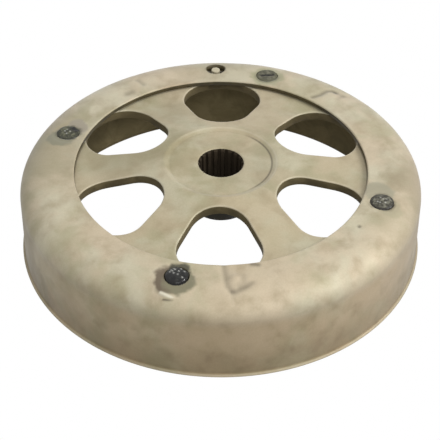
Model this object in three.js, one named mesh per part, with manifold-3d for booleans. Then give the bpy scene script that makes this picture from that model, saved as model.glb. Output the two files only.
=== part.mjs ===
// Clutch drum (clutch bell) of a small belt-drive scooter: a drawn steel cup with an inward
// flange, a dished six-window spider plate plug-welded under that flange, and a splined hub
// welded into the middle of the plate. Nothing on it moves: it turns as one piece on its shaft.
//
// Millimetres, +Z up. The origin is on the spin axis, in the plane of the open rim, so the drum
// stands on z = 0 with its flange face up.
import * as THREE from "three";
import { mergeVertices } from "three/addons/utils/BufferGeometryUtils.js";
import Module from "manifold-3d";

const wasm = await Module();
wasm.setup();

// ---------------------------------------------------------------- driving dimensions

// drum shell
const RIM_TO_FLANGE = 29.2; // height of the flange face over the rim
const WALL_OUTER_R = 66.0; // outside of the wall, just under the rounded corner
const WALL_FOOT_R = 66.35; // outside of the wall, just over the rim's lip
const RIM_OUTER_R = 67.1; // lip round the rim
const LIP_THICK = 0.9;
const LIP_TOP = 2.0; // height at which the lip has run out into the wall
const FRICTION_R = 62.5; // inside wall that the clutch shoes rub on
const CORNER_OUT = 11.7; // rounded corner, measured radially
const CORNER_DOWN = 7.3; // rounded corner, measured along the axis
const FLANGE_INNER_R = 48.0;
const FLANGE_THICK = 1.8;
const INNER_CORNER_OUT = 7.2;
const INNER_CORNER_DOWN = 7.0;
const RIM_CHAMFER = 0.5;
const EDGE_BREAK = 0.25; // broken edge of the flange opening

// spider plate
const GAP = 0.3; // clearance between pieces that meet
const PLATE_THICK = 3.2;
const PLATE_OUTER_R = 58.6;
const PLATE_EDGE_OUT = 3.1; // rolled outer edge that clears the inner corner of the shell
const PLATE_EDGE_DOWN = 1.6;
const CONE_OUTER_R = 41.0; // outside this radius the plate is flat
const CROWN_R = 16.6; // edge of the central hole, the highest ring of the plate
const CROWN_RISE = 4.25; // crown over the flat ring
const WINDOW_COUNT = 6;
const WINDOW_FIRST_DEG = 30;
const WINDOW_ROUND = 9.9; // the three inner rounds of a window share one radius
const WINDOW_INNER_C = 32.2; // centre of the inner round, from the axis
const WINDOW_CORNER_C = 39.5; // centres of the two corner rounds, from the axis
const WINDOW_CORNER_SIDE = 3.4; // and to each side of the window's middle line
const WINDOW_OUTER_R = 50.5; // furthest point of the outer round

// splined hub
const HUB_TOP_DROP = 1.05; // the hub's face lies this far under the crown
const HUB_HEAD_R = CROWN_R - GAP;
const HUB_SHOULDER_R = 18.6;
const HUB_SHOULDER_THICK = 2.5;
const HUB_BARREL_R = 10.4;
const HUB_BOTTOM_Z = 13.8;
const HUB_CHAMFER = 0.8;
const SPLINE_TEETH = 19;
const SPLINE_MAJOR_R = 7.5;
const SPLINE_MINOR_R = 6.85;
const SPLINE_SPACE_HALF = 0.17; // half a tooth space at the major radius, in pitches
const SPLINE_TOOTH_HALF = 0.23; // half a tooth at the minor radius, in pitches
const BORE_CHAMFER = 0.5;

// welds
const HUB_WELD_LEG = 2.3;
const HUB_WELD_BOW = 0.46; // how far the weld's face bulges
const PLUG_CIRCLE_R = 54.4;
const PLUG_HOLE_R = 3.85;
const PLUG_CROWN = 0.45; // height of the bead over its own edge
const PLUG_EDGE_DROP = 0.35; // edge of the bead under the flange face
const PLUGS = { left: 161.5, rear: 72.5, right: 340.3, front: 256.2 }; // degrees about +Z
const LOCATING_HOLE_R = 3.2;
const LOCATING_HOLE_CIRCLE_R = 56.0;
const LOCATING_HOLE_DEG = 92.1;

// fineness
const ROUND_SEGMENTS = 72;
const HUB_SEGMENTS = SPLINE_TEETH * 4;
const WELD_SEGMENTS = 36;
const PLUG_SEGMENTS = 20;
const WINDOW_SEGMENTS = 7;
const CORNER_STEPS = 6;
const EDGE_STEPS = 5;
const BEAD_STEPS = 4;
const CUT_MARGIN = 1; // cutters stand proud of what they cut

// heights that follow from the above
const FLANGE_Z = RIM_TO_FLANGE;
const FLAT_TOP_Z = FLANGE_Z - FLANGE_THICK - GAP;
const CROWN_Z = FLAT_TOP_Z + CROWN_RISE;
const CONE_SLOPE = CROWN_RISE / (CONE_OUTER_R - CROWN_R);
const HUB_TOP_Z = CROWN_Z - HUB_TOP_DROP;

// steels
const BEIGE_STEEL = { color: 0xb5ab8f, roughness: 0.55, metalness: 0.7 };
const OILED_STEEL = { color: 0x3a372e, roughness: 0.4, metalness: 0.8 };
const WELD_STEEL = { color: 0x4a453c, roughness: 0.5, metalness: 0.7 };
const WELD_CRUST = { color: 0x3c3b36, roughness: 0.3, metalness: 0.6 };

// ---------------------------------------------------------------- helpers

const radians = THREE.MathUtils.degToRad;

/** Closed ring or solid of revolution about +Z from [radius, height] points. */
function revolve(profile, segments) {
  const points = profile.map(([r, z]) => new THREE.Vector2(r, z));
  const onAxis = profile[0][0] === 0 && profile.at(-1)[0] === 0;
  if (!onAxis) points.push(points[0].clone());
  return new THREE.LatheGeometry(points, segments).rotateX(Math.PI / 2);
}

/** Quarter of an ellipse as [radius, height] points, from angle a to angle b in degrees. */
function ellipseArc(centreR, centreZ, halfR, halfZ, a, b, steps) {
  return Array.from({ length: steps + 1 }, (_, i) => {
    const t = radians(a + ((b - a) * i) / steps);
    return [centreR + halfR * Math.cos(t), centreZ + halfZ * Math.sin(t)];
  });
}

/** Geometry to a manifold solid, with shared vertices merged. */
function toSolid(geometry) {
  const bare = geometry.clone();
  bare.deleteAttribute("normal");
  bare.deleteAttribute("uv");
  const merged = mergeVertices(bare, 1e-4);
  return new wasm.Manifold(
    new wasm.Mesh({
      numProp: 3,
      vertProperties: merged.attributes.position.array,
      triVerts: new Uint32Array(merged.index.array),
    }),
  );
}

/** Manifold solid back to a geometry. */
function toGeometry(solid) {
  const mesh = solid.getMesh();
  const geometry = new THREE.BufferGeometry();
  geometry.setAttribute("position", new THREE.BufferAttribute(mesh.vertProperties, 3));
  geometry.setIndex(new THREE.BufferAttribute(mesh.triVerts, 1));
  const flat = geometry.toNonIndexed();
  flat.computeVertexNormals();
  return flat;
}

/** Named mesh with its own material. */
function piece(name, geometry, steel) {
  const mesh = new THREE.Mesh(geometry, new THREE.MeshStandardMaterial(steel));
  mesh.name = name;
  return mesh;
}

/** Height of the plate's conical underside, less the clearance, at a radius. */
function underPlateAt(r) {
  return CROWN_Z - CONE_SLOPE * (r - CROWN_R) - PLATE_THICK - GAP;
}

/** Upright round cutter at a place on a circle about the axis. */
function roundCutter(radius, circleR, degrees, bottom, top) {
  const cutter = new THREE.CylinderGeometry(radius, radius, top - bottom, PLUG_SEGMENTS);
  cutter.rotateX(Math.PI / 2);
  const angle = radians(degrees);
  cutter.translate(circleR * Math.cos(angle), circleR * Math.sin(angle), (top + bottom) / 2);
  return toSolid(cutter);
}

// ---------------------------------------------------------------- drum shell

function drumShell() {
  const underside = FLANGE_Z - FLANGE_THICK;
  const cornerR = WALL_OUTER_R - CORNER_OUT;
  const cornerZ = FLANGE_Z - CORNER_DOWN;
  const innerCornerR = FRICTION_R - INNER_CORNER_OUT;
  const innerCornerZ = underside - INNER_CORNER_DOWN;
  const profile = [
    [RIM_OUTER_R - RIM_CHAMFER, 0],
    [RIM_OUTER_R, RIM_CHAMFER],
    [RIM_OUTER_R, LIP_THICK],
    [WALL_FOOT_R, LIP_TOP],
    ...ellipseArc(cornerR, cornerZ, CORNER_OUT, CORNER_DOWN, 0, 90, CORNER_STEPS),
    [FLANGE_INNER_R + EDGE_BREAK, FLANGE_Z],
    [FLANGE_INNER_R, FLANGE_Z - EDGE_BREAK],
    [FLANGE_INNER_R, underside],
    ...ellipseArc(innerCornerR, innerCornerZ, INNER_CORNER_OUT, INNER_CORNER_DOWN, 90, 0, CORNER_STEPS),
    [FRICTION_R, RIM_CHAMFER],
    [FRICTION_R + RIM_CHAMFER, 0],
  ];
  let shell = toSolid(revolve(profile, ROUND_SEGMENTS));
  const below = underside - INNER_CORNER_DOWN;
  const above = FLANGE_Z + CUT_MARGIN;
  for (const degrees of Object.values(PLUGS)) {
    shell = shell.subtract(roundCutter(PLUG_HOLE_R, PLUG_CIRCLE_R, degrees, below, above));
  }
  const locating = roundCutter(
    LOCATING_HOLE_R,
    LOCATING_HOLE_CIRCLE_R,
    LOCATING_HOLE_DEG,
    below,
    above,
  );
  return toGeometry(shell.subtract(locating));
}

// ---------------------------------------------------------------- spider plate

/** Outline of one window, its middle line along +X: four tangent arcs and two straight sides. */
function windowOutline() {
  const reach = WINDOW_OUTER_R - WINDOW_ROUND;
  const outerC =
    (reach ** 2 - WINDOW_CORNER_C ** 2 - WINDOW_CORNER_SIDE ** 2) /
    (2 * (reach - WINDOW_CORNER_C));
  const outerRound = WINDOW_OUTER_R - outerC;
  const side = Math.PI / 2 + Math.atan2(WINDOW_CORNER_SIDE, WINDOW_CORNER_C - WINDOW_INNER_C);
  const end = Math.atan2(WINDOW_CORNER_SIDE, WINDOW_CORNER_C - outerC);
  const shape = new THREE.Shape();
  shape.absarc(WINDOW_INNER_C, 0, WINDOW_ROUND, side, 2 * Math.PI - side, false);
  shape.absarc(
    WINDOW_CORNER_C, -WINDOW_CORNER_SIDE, WINDOW_ROUND, 2 * Math.PI - side, 2 * Math.PI - end, false,
  );
  shape.absarc(outerC, 0, outerRound, -end, end, false);
  shape.absarc(WINDOW_CORNER_C, WINDOW_CORNER_SIDE, WINDOW_ROUND, end, side, false);
  shape.closePath();
  return shape;
}

function spiderPlate() {
  const flatBottom = FLAT_TOP_Z - PLATE_THICK;
  const edgeR = PLATE_OUTER_R - PLATE_EDGE_OUT;
  const edgeZ = FLAT_TOP_Z - PLATE_EDGE_DOWN;
  const profile = [
    [CROWN_R, CROWN_Z - PLATE_THICK],
    [CONE_OUTER_R, flatBottom],
    [PLATE_OUTER_R - EDGE_BREAK, flatBottom],
    [PLATE_OUTER_R, flatBottom + EDGE_BREAK],
    ...ellipseArc(edgeR, edgeZ, PLATE_EDGE_OUT, PLATE_EDGE_DOWN, 0, 90, EDGE_STEPS),
    [CONE_OUTER_R, FLAT_TOP_Z],
    [CROWN_R, CROWN_Z],
  ];
  let plate = toSolid(revolve(profile, ROUND_SEGMENTS));
  const depth = CROWN_RISE + PLATE_THICK + 2 * CUT_MARGIN;
  for (let i = 0; i < WINDOW_COUNT; i += 1) {
    const cutter = new THREE.ExtrudeGeometry(windowOutline(), {
      depth,
      bevelEnabled: false,
      curveSegments: WINDOW_SEGMENTS,
    });
    cutter.translate(0, 0, flatBottom - CUT_MARGIN);
    cutter.rotateZ(radians(WINDOW_FIRST_DEG + (360 / WINDOW_COUNT) * i));
    plate = plate.subtract(toSolid(cutter));
  }
  return toGeometry(plate);
}

// ---------------------------------------------------------------- splined hub

/** Cross-section of the splined bore: a tooth space, a flank, a tooth and a flank, repeated. */
function splineOutline() {
  const shape = new THREE.Shape();
  const pitch = (2 * Math.PI) / SPLINE_TEETH;
  const halfSpace = SPLINE_SPACE_HALF * pitch;
  const halfTooth = SPLINE_TOOTH_HALF * pitch;
  for (let i = 0; i < SPLINE_TEETH; i += 1) {
    const space = i * pitch;
    const tooth = space + pitch / 2;
    const corners = [
      [SPLINE_MAJOR_R, space - halfSpace],
      [SPLINE_MAJOR_R, space + halfSpace],
      [SPLINE_MINOR_R, tooth - halfTooth],
      [SPLINE_MINOR_R, tooth + halfTooth],
    ];
    corners.forEach(([r, angle], k) => {
      const x = r * Math.cos(angle);
      const y = r * Math.sin(angle);
      if (i === 0 && k === 0) shape.moveTo(x, y);
      else shape.lineTo(x, y);
    });
  }
  shape.closePath();
  return shape;
}

function splinedHub() {
  const shoulderTop = underPlateAt(HUB_SHOULDER_R);
  const shoulderBottom = shoulderTop - HUB_SHOULDER_THICK;
  const profile = [
    [0, HUB_BOTTOM_Z],
    [HUB_BARREL_R - HUB_CHAMFER, HUB_BOTTOM_Z],
    [HUB_BARREL_R, HUB_BOTTOM_Z + HUB_CHAMFER],
    [HUB_BARREL_R, shoulderBottom - HUB_CHAMFER],
    [HUB_BARREL_R + HUB_CHAMFER, shoulderBottom],
    [HUB_SHOULDER_R, shoulderBottom],
    [HUB_SHOULDER_R, shoulderTop],
    [HUB_HEAD_R, shoulderTop],
    [HUB_HEAD_R, HUB_TOP_Z],
    [0, HUB_TOP_Z],
  ];
  const blank = toSolid(revolve(profile, HUB_SEGMENTS));
  const spline = new THREE.ExtrudeGeometry(splineOutline(), {
    depth: HUB_TOP_Z - HUB_BOTTOM_Z + 2 * CUT_MARGIN,
    bevelEnabled: false,
  }).translate(0, 0, HUB_BOTTOM_Z - CUT_MARGIN);
  const chamferR = SPLINE_MAJOR_R + BORE_CHAMFER;
  const countersink = revolve(
    [
      [0, HUB_TOP_Z - chamferR],
      [chamferR + BORE_CHAMFER, HUB_TOP_Z + BORE_CHAMFER],
      [0, HUB_TOP_Z + BORE_CHAMFER],
    ],
    HUB_SEGMENTS,
  );
  const counterbore = revolve(
    [
      [0, HUB_BOTTOM_Z - BORE_CHAMFER],
      [chamferR + BORE_CHAMFER, HUB_BOTTOM_Z - BORE_CHAMFER],
      [0, HUB_BOTTOM_Z + chamferR],
    ],
    HUB_SEGMENTS,
  );
  const bored = blank.subtract(toSolid(spline)).subtract(toSolid(countersink));
  return toGeometry(bored.subtract(toSolid(counterbore)));
}

// ---------------------------------------------------------------- welds

/** Fillet weld that runs round the hub's shoulder, under the plate. */
function hubWeld() {
  const innerR = HUB_SHOULDER_R + GAP;
  const outerR = innerR + HUB_WELD_LEG;
  const top = underPlateAt(innerR);
  const middle = HUB_WELD_LEG / 2 + HUB_WELD_BOW;
  const profile = [
    [innerR, top - HUB_WELD_LEG],
    [innerR + middle, top - middle],
    [outerR, underPlateAt(outerR)],
    [innerR, top],
  ];
  return revolve(profile, WELD_SEGMENTS);
}

/** Weld metal that fills one hole of the flange and stands on the plate under it. */
function plugWeld() {
  const radius = PLUG_HOLE_R - GAP;
  const edge = FLANGE_Z - PLUG_EDGE_DROP;
  const profile = [
    [0, FLAT_TOP_Z + GAP],
    [radius, FLAT_TOP_Z + GAP],
    ...ellipseArc(0, edge, radius, PLUG_CROWN, 0, 90, BEAD_STEPS),
  ];
  profile.at(-1)[0] = 0;
  return revolve(profile, PLUG_SEGMENTS);
}

// ---------------------------------------------------------------- assembly

const drum = new THREE.Group();
drum.add(piece("drum_shell", drumShell(), BEIGE_STEEL));
drum.add(piece("spider_plate", spiderPlate(), BEIGE_STEEL));
drum.add(piece("splined_hub", splinedHub(), OILED_STEEL));
drum.add(piece("hub_weld", hubWeld(), WELD_STEEL));
for (const [place, degrees] of Object.entries(PLUGS)) {
  const plug = piece(`plug_weld_${place}`, plugWeld(), WELD_CRUST);
  const angle = radians(degrees);
  plug.position.set(PLUG_CIRCLE_R * Math.cos(angle), PLUG_CIRCLE_R * Math.sin(angle), 0);
  drum.add(plug);
}

export default drum;
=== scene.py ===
"""Looks of the clutch drum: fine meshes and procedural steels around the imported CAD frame.

Sizes are in millimetres until a mesh is made; Blender's own lengths are metres.
"""

import math

import bmesh
import bpy
import numpy as np
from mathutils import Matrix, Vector, noise


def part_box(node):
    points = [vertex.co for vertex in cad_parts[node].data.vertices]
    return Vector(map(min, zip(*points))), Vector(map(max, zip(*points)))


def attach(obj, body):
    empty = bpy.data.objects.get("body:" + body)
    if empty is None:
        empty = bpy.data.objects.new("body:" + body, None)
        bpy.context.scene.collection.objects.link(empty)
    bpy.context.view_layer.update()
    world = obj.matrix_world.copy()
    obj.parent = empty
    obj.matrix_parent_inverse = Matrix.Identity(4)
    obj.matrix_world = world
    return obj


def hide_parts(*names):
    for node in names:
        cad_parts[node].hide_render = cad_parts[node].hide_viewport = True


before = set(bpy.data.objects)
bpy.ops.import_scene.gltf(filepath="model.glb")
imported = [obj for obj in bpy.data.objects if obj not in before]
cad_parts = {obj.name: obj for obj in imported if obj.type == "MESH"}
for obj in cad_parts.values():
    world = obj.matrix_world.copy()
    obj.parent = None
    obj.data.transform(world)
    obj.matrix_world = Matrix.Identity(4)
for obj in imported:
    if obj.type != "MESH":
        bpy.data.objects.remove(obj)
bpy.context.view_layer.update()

MM = 0.001
TURN = 2 * math.pi
PLUG_NODES = ("plug_weld_left", "plug_weld_rear", "plug_weld_right", "plug_weld_front")


def high(node):
    """Highest corner of a CAD node, in mm."""
    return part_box(node)[1] / MM


def low(node):
    """Lowest corner of a CAD node, in mm."""
    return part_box(node)[0] / MM


def middle(node):
    """Centre of a CAD node's box, in mm."""
    return (high(node) + low(node)) / 2


# ---------------------------------------------------------------- sizes read from the frame

FLANGE_Z = high("drum_shell").z
RIM_R = high("drum_shell").x
PLATE_R = high("spider_plate").x
CROWN_Z = high("spider_plate").z
PLATE_FLAT_LOW_Z = low("spider_plate").z
HUB_TOP_Z = high("splined_hub").z
HUB_LOW_Z = low("splined_hub").z
SHOULDER_R = high("splined_hub").x
WELD_RING_R = high("hub_weld").x
WELD_RING_TOP_Z = high("hub_weld").z
WELD_RING_LOW_Z = low("hub_weld").z
PLUG_BASE_Z = low("plug_weld_front").z

# ---------------------------------------------------------------- sizes of the shell

WALL_R = 66.0
WALL_FOOT_R = 66.35
FRICTION_R = 62.5
CORNER_OUT = 11.7
CORNER_DOWN = 7.3
FLANGE_INNER_R = 48.0
FLANGE_THICK = 1.8
OPENING_OUT = 0.45
OPENING_DOWN = 0.6
INNER_CORNER_OUT = 7.2
INNER_CORNER_DOWN = 7.0
LIP_THICK = 0.6
LIP_TOP = 1.2
LIP_HOLLOW = 0.9
EDGE_ROUND = 0.3
FOOT_CHAMFER = 0.15
SHELL_TURNS = 560
OUTER_STEP = 0.45
INNER_STEP = 1.6
PLUG_HOLE_R = 3.85
LOCATING_R = 3.2
LOCATING_CIRCLE_R = 56.0
LOCATING_DEG = 92.1

# ---------------------------------------------------------------- sizes of the plate

PLATE_THICK = 3.2
FLAT_TOP_Z = PLATE_FLAT_LOW_Z + PLATE_THICK
CONE_R = 41.0
CONE_BEND = 3.0
CROWN_R = 16.6
CROWN_FALL = 2.2
CONE_SLOPE = (CROWN_Z - FLAT_TOP_Z) / (CONE_R - CROWN_R)
ROLL_OUT = 2.1
ROLL_DOWN = 1.6
WINDOWS = 6
WINDOW_FIRST_DEG = 29.6
WINDOW_ROUND = 9.9
WINDOW_INNER_C = 32.2
WINDOW_CORNER_C = 39.5
WINDOW_CORNER_SIDE = 3.4
WINDOW_OUTER_R = 50.5
WINDOW_MIDDLE = 37.0
WINDOW_EDGE = 0.5
UNDER_EDGE = 0.15
PLATE_CHAMFER = 0.3
FACE_ROWS = 14
FALL_ROWS = 9
ROLL_ROWS = 8
PIP_R = 1.55
PIP_EDGE = 0.35
PIP_UNDER_FLANGE = 0.5

# ---------------------------------------------------------------- sizes of the hub

HEAD_R = CROWN_R + 0.3
BARREL_R = 10.4
SHOULDER_THICK = 2.5
HUB_EDGE = 0.4
SPLINE_TEETH = 19
SPLINE_MAJOR_R = 7.5
SPLINE_MINOR_R = 6.85
BORE_CHAMFER_R = 7.75
HUB_FILLET = 1.2
SPACE_HALF = 0.17
TOOTH_FROM = 0.27
FLANK_STEPS = 4


# ---------------------------------------------------------------- mesh helpers


def polar(degrees, radius):
    """[x, y] of a place on the flange."""
    angle = math.radians(degrees)
    return np.array([radius * math.cos(angle), radius * math.sin(angle)])


def arc(centre_r, centre_z, half_r, half_z, start, end, steps):
    """[radius, height] points of an elliptical arc, angles in degrees."""
    angles = np.radians(np.linspace(start, end, steps + 1))
    return [[centre_r + half_r * math.cos(a), centre_z + half_z * math.sin(a)] for a in angles]


def fine(points, step):
    """The same line with its long stretches cut into steps."""
    out = [points[0]]
    for a, b in zip(points, points[1:]):
        count = max(1, math.ceil(math.dist(a, b) / step))
        for i in range(1, count + 1):
            share = i / count
            out.append([a[0] + (b[0] - a[0]) * share, a[1] + (b[1] - a[1]) * share])
    return out


def smooth(value, start, end):
    """0 before start, 1 after end, smooth between, for arrays."""
    t = np.clip((value - start) / (end - start), 0, 1)
    return t * t * (3 - 2 * t)


def rough(x, y, z, size, octaves=3):
    """Smooth noise from -1 to 1 at a place, with bumps of about that size in mm."""
    return noise.fractal(Vector((x, y, z)) / size, 1.0, 2.0, octaves)


class Sheets:
    """Grids of points that are sewn into one closed mesh."""

    def __init__(self):
        self.points, self.faces, self.marks = [], [], []

    def add(self, grid, wrap=False, mark=None):
        """A grid of shape rows x columns x 3, in mm. wrap joins its last column to its first.
        mark(row) gives the material number of the faces between that row and the next."""
        rows, columns = grid.shape[:2]
        first = len(self.points)
        self.points += (grid.reshape(-1, 3) * MM).tolist()
        for r in range(rows - 1):
            number = mark(r) if mark else 0
            for c in range(columns if wrap else columns - 1):
                d = (c + 1) % columns
                a, b = first + r * columns, first + (r + 1) * columns
                self.faces.append((a + c, a + d, b + d, b + c))
                self.marks.append(number)

    def build(self, name, materials, sharp_deg=50):
        """The sewn mesh as an object with smooth faces."""
        mesh = bpy.data.meshes.new(name)
        mesh.from_pydata(self.points, [], self.faces)
        mesh.polygons.foreach_set("material_index", self.marks)
        for material in materials:
            mesh.materials.append(material)
        sewn = bmesh.new()
        sewn.from_mesh(mesh)
        bmesh.ops.remove_doubles(sewn, verts=sewn.verts, dist=2e-6)
        bmesh.ops.dissolve_degenerate(sewn, edges=sewn.edges, dist=1e-7)
        bmesh.ops.recalc_face_normals(sewn, faces=sewn.faces)
        sewn.to_mesh(mesh)
        sewn.free()
        mesh.polygons.foreach_set("use_smooth", [True] * len(mesh.polygons))
        mesh.set_sharp_from_angle(angle=math.radians(sharp_deg))
        piece = bpy.data.objects.new(name, mesh)
        bpy.context.scene.collection.objects.link(piece)
        return piece


def turned(profile, turns):
    """Grid of a closed profile of [radius, height] points swept about the axis."""
    profile = np.array(profile)
    angles = np.linspace(0, TURN, turns, endpoint=False)
    r, z = profile[:, :1], np.repeat(profile[:, 1:], turns, axis=1)
    return np.stack([r * np.cos(angles), r * np.sin(angles), z], axis=-1)


def closed(profile):
    """The profile with its first point repeated at its end."""
    return profile + profile[:1]


def baked(piece):
    """The piece with its modifiers made part of its mesh."""
    graph = bpy.context.evaluated_depsgraph_get()
    mesh = bpy.data.meshes.new_from_object(piece.evaluated_get(graph))
    piece.modifiers.clear()
    piece.data = mesh
    return piece


def combine(piece, tools, operation):
    """Cuts the tools out of the piece, or joins them to it."""
    for tool in tools:
        boolean = piece.modifiers.new("tool", "BOOLEAN")
        boolean.object = tool
        boolean.operation = operation
        boolean.solver = "EXACT"
    baked(piece)
    for tool in tools:
        bpy.data.objects.remove(tool)
    return piece


def shaded(piece, shade_at, name="shade"):
    """Stores a number from -1 to 1 for each point of the piece. Its shade is how much darker (over 0)
    or lighter (under 0) the point is: dirty marks and painted shade over 0, painted highlights and
    a weld's rim tone under 0."""
    mesh = piece.data
    flat = np.empty(len(mesh.vertices) * 3)
    mesh.vertices.foreach_get("co", flat)
    shade = np.clip(shade_at(flat.reshape(-1, 3) / MM), -1, 1)
    mesh.attributes.new(name, "FLOAT", "POINT").data.foreach_set("value", shade)
    return piece


# ---------------------------------------------------------------- materials


class Graph:
    """A material's nodes, with inputs given as values or as other nodes' outputs."""

    def __init__(self, name):
        self.material = bpy.data.materials.new(name)
        self.material.use_nodes = True
        self.tree = self.material.node_tree
        self.tree.nodes.clear()
        place = self.node("TexCoord").outputs["Object"]
        self.place = self.node("VectorMath", {0: place, "Scale": 1 / MM}, operation="SCALE").outputs[0]

    def node(self, kind, inputs=None, **settings):
        """A shader node with its settings and inputs."""
        made = self.tree.nodes.new("ShaderNode" + kind)
        for key, value in settings.items():
            setattr(made, key, value)
        for key, value in (inputs or {}).items():
            if isinstance(value, bpy.types.NodeSocket):
                self.tree.links.new(value, made.inputs[key])
            else:
                made.inputs[key].default_value = value
        return made

    def math(self, operation, a, b=0.0):
        """A sum, product or other operation on two values."""
        return self.node("Math", {0: a, 1: b}, operation=operation).outputs[0]

    def noise(self, size, detail=3.0, roughness=0.55, warp=0.0, stretch=(1, 1, 1)):
        """Noise from 0 to 1 with blotches of about that size in mm."""
        scale = tuple(s / size for s in stretch)
        vector = self.node("VectorMath", {0: self.place, 1: scale}, operation="MULTIPLY").outputs[0]
        inputs = {
            "Vector": vector,
            "Scale": 1.0,
            "Detail": detail,
            "Roughness": roughness,
            "Distortion": warp,
        }
        return self.node("TexNoise", inputs).outputs["Fac"]

    def ramp(self, value, start, end, low=0.0, high=1.0):
        """The value's stretch from start to end, spread smoothly over low to high."""
        inputs = {"Value": value, "From Min": start, "From Max": end, "To Min": low, "To Max": high}
        return self.node("MapRange", inputs, interpolation_type="SMOOTHSTEP").outputs["Result"]

    def mix(self, share, a, b, blend="MIX"):
        """Two colours mixed."""
        made = self.node("Mix", data_type="RGBA", blend_type=blend)
        for socket, value in zip((made.inputs[0], made.inputs[6], made.inputs[7]), (share, a, b)):
            if isinstance(value, bpy.types.NodeSocket):
                self.tree.links.new(value, socket)
            else:
                socket.default_value = value
        return made.outputs[2]

    def near(self, x, y):
        """Distance in mm from an upright line."""
        flat = self.node("VectorMath", {0: self.place, 1: (1, 1, 0)}, operation="MULTIPLY").outputs[0]
        return self.node("VectorMath", {0: flat, 1: (x, y, 0)}, operation="DISTANCE").outputs["Value"]

    def height(self):
        """Height over the open rim, in mm."""
        return self.node("SeparateXYZ", {0: self.place}).outputs["Z"]

    def shaded(self, color, dark_tone, light_tone):
        """The colour made darker or lighter where the piece's own points say so: dirty marks, painted
        shade and painted highlights on the steels, slag and the rim's tone on the welds.
        """
        shade = self.node("Attribute", attribute_name="shade").outputs["Fac"]
        color = self.mix(self.ramp(shade, 0, 1), color, dark_tone)
        return self.mix(self.ramp(shade, 0, -1), color, light_tone)

    def finish(self, color, roughness, bumps, metallic, **constants):
        """The shader: bumps are (height, strength, distance in mm) from coarse to fine."""
        normal = None
        for height, strength, distance in bumps:
            inputs = {"Height": height, "Strength": strength, "Distance": distance * MM}
            if normal is not None:
                inputs["Normal"] = normal
            normal = self.node("Bump", inputs).outputs["Normal"]
        inputs = {"Base Color": color, "Roughness": roughness, "Metallic": metallic, "Normal": normal}
        shader = self.node("BsdfPrincipled", {**inputs, **constants})
        output = self.node("OutputMaterial")
        self.tree.links.new(shader.outputs[0], output.inputs["Surface"])
        return self.material


def rgb(red, green, blue):
    """A colour from its 0 to 255 screen values."""
    screen = (red / 255, green / 255, blue / 255)
    linear = [v / 12.92 if v <= 0.04045 else ((v + 0.055) / 1.055) ** 2.4 for v in screen]
    return (*linear, 1.0)


STAIN = rgb(150, 132, 100)
# Dark tone: dirty marks plus painted shade in knocks, recesses, seams and holes. Light tone below it:
# painted highlights.
DIRT_AND_SHADE = rgb(66, 58, 40)
PAINTED_HIGHLIGHT = rgb(232, 226, 204)
# Pale tone of painted glints on the welds' lumps.
PAINTED_GLINT = rgb(214, 214, 206)
SLAG = rgb(22, 21, 18)
# Painted shade on the wall: darker and more brown below the corner, darker still toward the foot.
WALL_SHADE_FILTER = (0.88, 0.82, 0.73, 1)
FOOT_SHADE_FILTER = (0.72, 0.7, 0.64, 1)
WALL_LOW_Z = 19.0
WALL_FADE = 5.0
FOOT_FROM_Z = 3.0
FOOT_TO_Z = 16.0


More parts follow.
